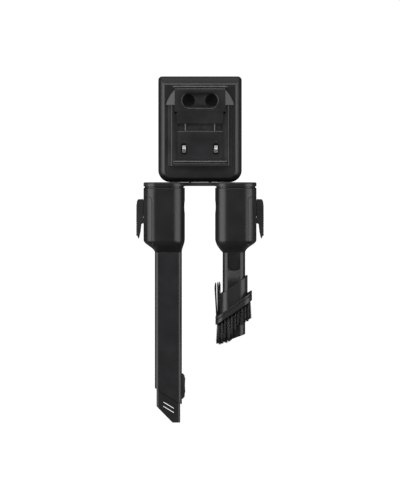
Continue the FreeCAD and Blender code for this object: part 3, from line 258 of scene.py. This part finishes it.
def make_moulded_surface():
    """Grain, clouds and pale rubbed edges, as colour, roughness and height."""
    tree = bpy.data.node_groups.new("moulded_surface", "ShaderNodeTree")
    socket(tree, "Colour", "INPUT", "NodeSocketColor", (0.03, 0.03, 0.03, 1.0))
    socket(tree, "Grain Scale", "INPUT", "NodeSocketFloat", 1500.0)
    socket(tree, "Grain Depth", "INPUT", "NodeSocketFloat", 1.0)
    socket(tree, "Roughness", "INPUT", "NodeSocketFloat", 0.45)
    socket(tree, "Edge Wear", "INPUT", "NodeSocketFloat", 0.5)
    socket(tree, "Colour", "OUTPUT", "NodeSocketColor")
    socket(tree, "Roughness", "OUTPUT", "NodeSocketFloat")
    socket(tree, "Height", "OUTPUT", "NodeSocketFloat")
    start = tree.nodes.new("NodeGroupInput")
    end = tree.nodes.new("NodeGroupOutput")
    coords = tree.nodes.new("ShaderNodeTexCoord")

    clouds = tree.nodes.new("ShaderNodeTexNoise")
    clouds.inputs["Scale"].default_value = CLOUD_SCALE
    clouds.inputs["Detail"].default_value = 4.0
    tree.links.new(coords.outputs["Object"], clouds.inputs["Vector"])

    grain = tree.nodes.new("ShaderNodeTexNoise")
    grain.inputs["Detail"].default_value = 3.0
    tree.links.new(coords.outputs["Object"], grain.inputs["Vector"])
    tree.links.new(start.outputs["Grain Scale"], grain.inputs["Scale"])

    geometry = tree.nodes.new("ShaderNodeNewGeometry")
    edge = tree.nodes.new("ShaderNodeMapRange")
    edge.inputs["From Min"].default_value = EDGE_START
    edge.inputs["From Max"].default_value = EDGE_FULL
    tree.links.new(geometry.outputs["Pointiness"], edge.inputs["Value"])
    broken = math_node(tree, "MULTIPLY", edge.outputs["Result"], clouds.outputs["Fac"])
    wear = math_node(tree, "MULTIPLY", broken, start.outputs["Edge Wear"])

    shade = math_node(tree, "MULTIPLY_ADD", clouds.outputs["Fac"], 0.5)
    shade.node.inputs[2].default_value = 0.75
    tinted = tree.nodes.new("ShaderNodeMix")
    tinted.data_type = "RGBA"
    tinted.blend_type = "MULTIPLY"
    tinted.inputs["Factor"].default_value = 1.0
    tree.links.new(start.outputs["Colour"], tinted.inputs["A"])
    tree.links.new(shade, tinted.inputs["B"])
    rubbed = tree.nodes.new("ShaderNodeMix")
    rubbed.data_type = "RGBA"
    rubbed.inputs["B"].default_value = RUBBED
    tree.links.new(wear, rubbed.inputs["Factor"])
    tree.links.new(tinted.outputs["Result"], rubbed.inputs["A"])
    tree.links.new(rubbed.outputs["Result"], end.inputs["Colour"])

    polish = math_node(tree, "MULTIPLY_ADD", clouds.outputs["Fac"], 0.16)
    polish.node.inputs[2].default_value = -0.08
    rough = math_node(tree, "ADD", start.outputs["Roughness"], polish)
    tree.links.new(rough, end.inputs["Roughness"])
    height = math_node(tree, "MULTIPLY", grain.outputs["Fac"], start.outputs["Grain Depth"])
    tree.links.new(height, end.inputs["Height"])
    return tree


MOULDED = make_moulded_surface()
print("group", MOULDED.name, "has", len(MOULDED.nodes), "nodes")


# %% [markdown]
# ## The finishes
# The housing has the coarsest grain, the flat tube and nozzle are smoother so that they slide, and
# the latch is a slightly paler moulding. The plated contacts and the steel screws use the same
# clouds with a metallic shader.

# %% Materials
def moulded(name, colour, roughness, grain_scale=1500.0, grain_depth=1.0, wear=0.5,
            metallic=0.0, bump=0.00006, coat=0.0):
    """A material that places the moulded-surface group in a Principled shader."""
    material = bpy.data.materials.new(name)
    material.use_nodes = True
    tree = material.node_tree
    shader = tree.nodes["Principled BSDF"]
    shader.inputs["Metallic"].default_value = metallic
    shader.inputs["Coat Weight"].default_value = coat
    shader.inputs["Coat Roughness"].default_value = 0.2
    group = tree.nodes.new("ShaderNodeGroup")
    group.node_tree = MOULDED
    group.inputs["Colour"].default_value = (*colour, 1.0)
    group.inputs["Grain Scale"].default_value = grain_scale
    group.inputs["Grain Depth"].default_value = grain_depth
    group.inputs["Roughness"].default_value = roughness
    group.inputs["Edge Wear"].default_value = wear
    bump_node = tree.nodes.new("ShaderNodeBump")
    bump_node.inputs["Distance"].default_value = bump
    bump_node.inputs["Strength"].default_value = 0.6
    tree.links.new(group.outputs["Colour"], shader.inputs["Base Color"])
    tree.links.new(group.outputs["Roughness"], shader.inputs["Roughness"])
    tree.links.new(group.outputs["Height"], bump_node.inputs["Height"])
    tree.links.new(bump_node.outputs["Normal"], shader.inputs["Normal"])
    return material


FINISH = {
    "housing": moulded("housing_plastic", (0.010, 0.010, 0.011), 0.32),
    "cradle": moulded("cradle_plastic", (0.009, 0.009, 0.010), 0.32, grain_scale=1800.0),
    "tube": moulded("sliding_plastic", (0.010, 0.010, 0.011), 0.30, grain_scale=2400.0,
                    grain_depth=0.6),
    "latch": moulded("latch_plastic", (0.018, 0.018, 0.019), 0.34),
    "grip": moulded("grip_plastic", (0.010, 0.010, 0.011), 0.38, grain_scale=1200.0, wear=0.3),
    "collar": moulded("collar_plastic", (0.013, 0.013, 0.014), 0.32, grain_scale=1800.0),
    "seal": moulded("seal_rubber", (0.009, 0.009, 0.009), 0.70, grain_scale=900.0, wear=0.1),
    "nickel": moulded("plated_nickel", (0.62, 0.62, 0.60), 0.36, wear=0.0, metallic=1.0,
                      bump=0.00001),
    "steel": moulded("zinc_steel", (0.13, 0.13, 0.135), 0.34, wear=0.0, metallic=1.0,
                     bump=0.00002),
    "board": moulded("solder_mask", (0.015, 0.10, 0.045), 0.30, grain_scale=600.0, wear=0.0,
                     coat=0.4),
    "components": moulded("component_case", (0.025, 0.025, 0.028), 0.45),
    "inlet": moulded("inlet_plastic", (0.010, 0.010, 0.010), 0.25, wear=0.2),
}
print("finishes:", ", ".join(FINISH))

# %% [markdown]
# ## Rounded mould edges on the frame's own pieces
# No moulding has a razor edge: the light that catches its small radius is what reads as plastic.
# The frame's meshes stay as they are, so the radius is a modifier. Weld joins the loose triangles,
# a planar Decimate clears the flat faces, Bevel rounds whatever is sharper than the angle, and
# Weighted Normal keeps the big faces flat in the light.

# %% Edge rounding
WELD_REACH = 0.002 * MM
FLAT_ANGLE = 0.4                # degrees, faces flatter than this are merged
SHARP_ANGLE = 32.0              # degrees, edges sharper than this are rounded
BEVEL_SEGMENTS = 2
RADIUS = {                      # mm
    "rear_cover": 0.6, "front_cover": 0.7, "cradle_frame": 0.9, "hanger_panel": 0.7,
    "contact_plate": 0.8, "accessory_bracket": 0.5, "power_inlet": 0.2,
    "charge_contact_left": 0.2, "charge_contact_right": 0.2,
    "crevice_socket": 0.35, "crevice_side_cover": 0.25, "crevice_latch": 0.5,
    "crevice_latch_pad": 0.2, "crevice_outer_tube": 0.5, "crevice_inner_nozzle": 0.35,
    "button_housing": 0.3, "extension_button": 0.3,
    "brush_tool_socket": 0.35, "brush_tool_side_cover": 0.25, "brush_tool_latch": 0.5,
    "brush_tool_latch_pad": 0.2, "nozzle_tube": 0.5, "brush_collar": 0.5, "brush_band": 0.9,
}


def round_edges(piece, width):
    """Modifiers that round a moulding's sharp edges and shade it smooth."""
    for face in piece.data.polygons:
        face.use_smooth = True
    weld = piece.modifiers.new("weld", "WELD")
    weld.merge_threshold = WELD_REACH
    flat = piece.modifiers.new("flat_faces", "DECIMATE")
    flat.decimate_type = "DISSOLVE"
    flat.angle_limit = math.radians(FLAT_ANGLE)
    bevel = piece.modifiers.new("mould_radius", "BEVEL")
    bevel.width = width
    bevel.segments = BEVEL_SEGMENTS
    bevel.limit_method = "ANGLE"
    bevel.angle_limit = math.radians(SHARP_ANGLE)
    bevel.use_clamp_overlap = True
    bevel.harden_normals = False
    normals = piece.modifiers.new("even_shade", "WEIGHTED_NORMAL")
    normals.keep_sharp = False
    normals.weight = 60


slots = {part["node"]: part["material_slot"] for part in frame["record"]["subparts"]}
for name, piece in nodes.items():
    piece.data.materials.clear()
    piece.data.materials.append(FINISH.get(slots[name], FINISH["seal"]))
    if name in RADIUS:
        round_edges(piece, RADIUS[name] * MM)
print("rounded", len(RADIUS), "pieces")

# %% [markdown]
# ## Bristles
# The soft brush is nylon filament punched in tufts, two rows round the band's ring, and a short
# row of tufts that stands up behind it. Each filament is its own thin closed tube with a slight
# bow, cut a little unevenly. They take the place of the frame's two plain bristle solids.

# %% Filaments
BAND_X = (19.8, 66.4)            # the band's inner and outer edge, as in the frame
BAND_TOP = (-240.3, -206.7)      # each slanted plane: its z at those two edges
BAND_BOTTOM = (-249.7, -217.9)
BAND_HALF_DEPTH = 31.0
BAND_CORNER_R = 8.0
CORNER_STEPS = 12
# Where the curtain is cut: (x, height). Long at the inner side, stepped up over the mouth.
CUT_LINE = ((18.0, -275.5), (37.0, -273.5), (43.0, -267.0),
            (48.0, -255.5), (58.0, -248.0), (68.0, -238.5))
TOOL_Y = -36.0
ROW_INSETS = (3.7, 5.7)          # the two rows of tufts, measured in from the band's rim
TUFT_PITCH = 4.4
CURTAIN_FILAMENTS = 30           # in one tuft
REAR_LINES = ((21.3, -1.6), (23.2, 0.2), (24.8, 0.3))    # x, and lean at the tip
REAR_TUFTS = 5                   # in one line
REAR_FIRST_Y = -28.6
REAR_PITCH = 3.3
REAR_TOP = -199.5
REAR_FILAMENTS = 24              # in one tuft
FILAMENT_R = 0.17
FILAMENT_TAPER = 0.35            # share of the radius lost by the tip
SIDES = 4
ROOT_SUNK = 0.7                  # foot of a filament inside the band
rng = random.Random(20)


def plane_z(plane, x):
    """Height of a slanted plane at x."""
    share = (x - BAND_X[0]) / (BAND_X[1] - BAND_X[0])
    return plane[0] + (plane[1] - plane[0]) * share


def cut_height(x):
    """Height of the curtain's cut edge at x."""
    for (x0, z0), (x1, z1) in zip(CUT_LINE, CUT_LINE[1:]):
        if x <= x1:
            return z0 + (z1 - z0) * (x - x0) / (x1 - x0)
    return CUT_LINE[-1][1]


def filament(mesh, shade, foot, tip, bow, tuft_tone):
    """One closed four-sided filament from foot to tip, bowed sideways by bow."""
    tone = tuft_tone + rng.uniform(0.0, 0.4)
    turn = rng.uniform(0.0, math.pi / 2)
    rings = []
    for share in (0.0, 0.35, 0.7, 1.0):
        centre = foot.lerp(tip, share) + bow * math.sin(math.pi * share)
        width = FILAMENT_R * (1.0 - FILAMENT_TAPER * share)
        ring = []
        for i in range(SIDES):
            angle = turn + i * math.pi / 2
            place = centre + Vector((width * math.cos(angle), width * math.sin(angle), 0.0))
            ring.append(mesh.verts.new(place * MM))
        rings.append(ring)
    upward = tip.z > foot.z
    faces = []
    for low_ring, high_ring in zip(rings, rings[1:]):
        for i in range(SIDES):
            j = (i + 1) % SIDES
            quad = (low_ring[i], low_ring[j], high_ring[j], high_ring[i])
            faces.append(mesh.faces.new(quad if upward else quad[::-1]))
    first, last = rings[0], rings[-1]
    faces.append(mesh.faces.new(first[::-1] if upward else first))
    faces.append(mesh.faces.new(last if upward else last[::-1]))
    for face in faces:
        face.smooth = len(face.verts) == 4
        for loop in face.loops:
            loop[shade] = tone


def rounded_loop(x0, x1, half_depth, r, pitch):
    """Points evenly spaced round an upright rounded rectangle, with their outward directions."""
    corners = [(x1 - r, half_depth - r, 0), (x0 + r, half_depth - r, 1),
               (x0 + r, r - half_depth, 2), (x1 - r, r - half_depth, 3)]
    line = []
    for cx, cy, quarter in corners:
        for step in range(CORNER_STEPS + 1):
            angle = math.pi / 2 * (quarter + step / CORNER_STEPS)
            line.append((Vector((cx + r * math.cos(angle), TOOL_Y + cy + r * math.sin(angle), 0.0)),
                         Vector((math.cos(angle), math.sin(angle), 0.0))))
    line.append(line[0])
    spans = [(b[0] - a[0]).length for a, b in zip(line, line[1:])]
    count = round(sum(spans) / pitch)
    step = sum(spans) / count
    found = []
    walked = 0.0
    for (a, b), span in zip(zip(line, line[1:]), spans):
        while len(found) < count and len(found) * step <= walked + span:
            share = (len(found) * step - walked) / span
            found.append((a[0].lerp(b[0], share), a[1].lerp(b[1], share).normalized()))
        walked += span
    return found


def bristle_piece(name, node, build):
    """A bristle mesh with a tone per filament, riding on the collar in place of a frame node."""
    mesh = bmesh.new()
    shade = mesh.loops.layers.float.new("filament_tone")
    build(mesh, shade)
    data = bpy.data.meshes.new(name)
    mesh.to_mesh(data)
    mesh.free()
    data.materials.append(BRISTLE)
    piece = bpy.data.objects.new(name, data)
    bpy.context.scene.collection.objects.link(piece)
    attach(piece, "brush_collar")
    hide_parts(node)
    return piece


def build_curtain(mesh, shade):
    """Two rows of tufts round the band, with gaps between the tufts."""
    for row, inset in enumerate(ROW_INSETS):
        spots = rounded_loop(BAND_X[0] + inset, BAND_X[1] - inset, BAND_HALF_DEPTH - inset,
                             BAND_CORNER_R, TUFT_PITCH)
        splay = 0.5 - 0.8 * row          # the outer row leans out, the inner row in
        for middle, outward in spots:
            lean = Vector((rng.gauss(0, 0.5), rng.gauss(0, 0.4), 0.0)) + outward * splay
            cut = rng.uniform(-0.4, 3.0)
            tuft_tone = rng.uniform(0.0, 0.6)
            for _ in range(CURTAIN_FILAMENTS):
                spread = Vector((rng.gauss(0, 0.5), rng.gauss(0, 0.5), 0.0))
                foot = middle + spread
                tip = foot + lean + spread * 0.5
                foot.z = plane_z(BAND_BOTTOM, foot.x) + ROOT_SUNK
                tip.z = cut_height(middle.x) + cut + rng.uniform(0.0, 1.4)
                bow = Vector((rng.gauss(0, 0.2), rng.gauss(0, 0.2), 0.0))
                filament(mesh, shade, foot, tip, bow, tuft_tone)


def build_rear(mesh, shade):
    """The row that stands up behind the band's inner end: tufts that splay to both sides."""
    for across, lean_x in REAR_LINES:
        for i in range(REAR_TUFTS):
            middle = Vector((across, REAR_FIRST_Y + REAR_PITCH * i, 0.0))
            lean = Vector((lean_x + rng.gauss(0, 0.3), rng.gauss(0, 0.5), 0.0))
            top = REAR_TOP + rng.uniform(-3.0, 3.4)
            tuft_tone = rng.uniform(0.0, 0.6)
            for _ in range(REAR_FILAMENTS):
                spread = Vector((rng.gauss(0, 0.33), rng.gauss(0, 0.42), 0.0))
                foot = middle + spread
                tip = foot + lean + spread * 0.4
                foot.z = plane_z(BAND_TOP, foot.x) - ROOT_SUNK
                tip.z = top + rng.uniform(-1.2, 0.8)
                bow = Vector((rng.gauss(0, 0.15), rng.gauss(0, 0.15), 0.0))
                filament(mesh, shade, foot, tip, bow, tuft_tone)


def bristle_material():
    """Black nylon filament: a dark satin tube whose tone differs from one to the next."""
    material = moulded("bristle_nylon", (0.012, 0.012, 0.013), 0.34, grain_scale=700.0, wear=0.0)
    tree = material.node_tree
    shader = tree.nodes["Principled BSDF"]
    tone = tree.nodes.new("ShaderNodeAttribute")
    tone.attribute_name = "filament_tone"
    ramp = tree.nodes.new("ShaderNodeValToRGB")
    ramp.color_ramp.elements[0].color = (0.006, 0.006, 0.006, 1.0)
    ramp.color_ramp.elements[1].color = (0.045, 0.045, 0.047, 1.0)
    tree.links.new(tone.outputs["Fac"], ramp.inputs["Fac"])
    tree.links.new(ramp.outputs["Color"], shader.inputs["Base Color"])
    return material


BRISTLE = bristle_material()
curtain = bristle_piece("bristle_curtain", "front_bristles", build_curtain)
rear_row = bristle_piece("bristle_rear_row", "rear_tufts", build_rear)
print("bristles:", len(curtain.data.polygons) + len(rear_row.data.polygons), "faces")
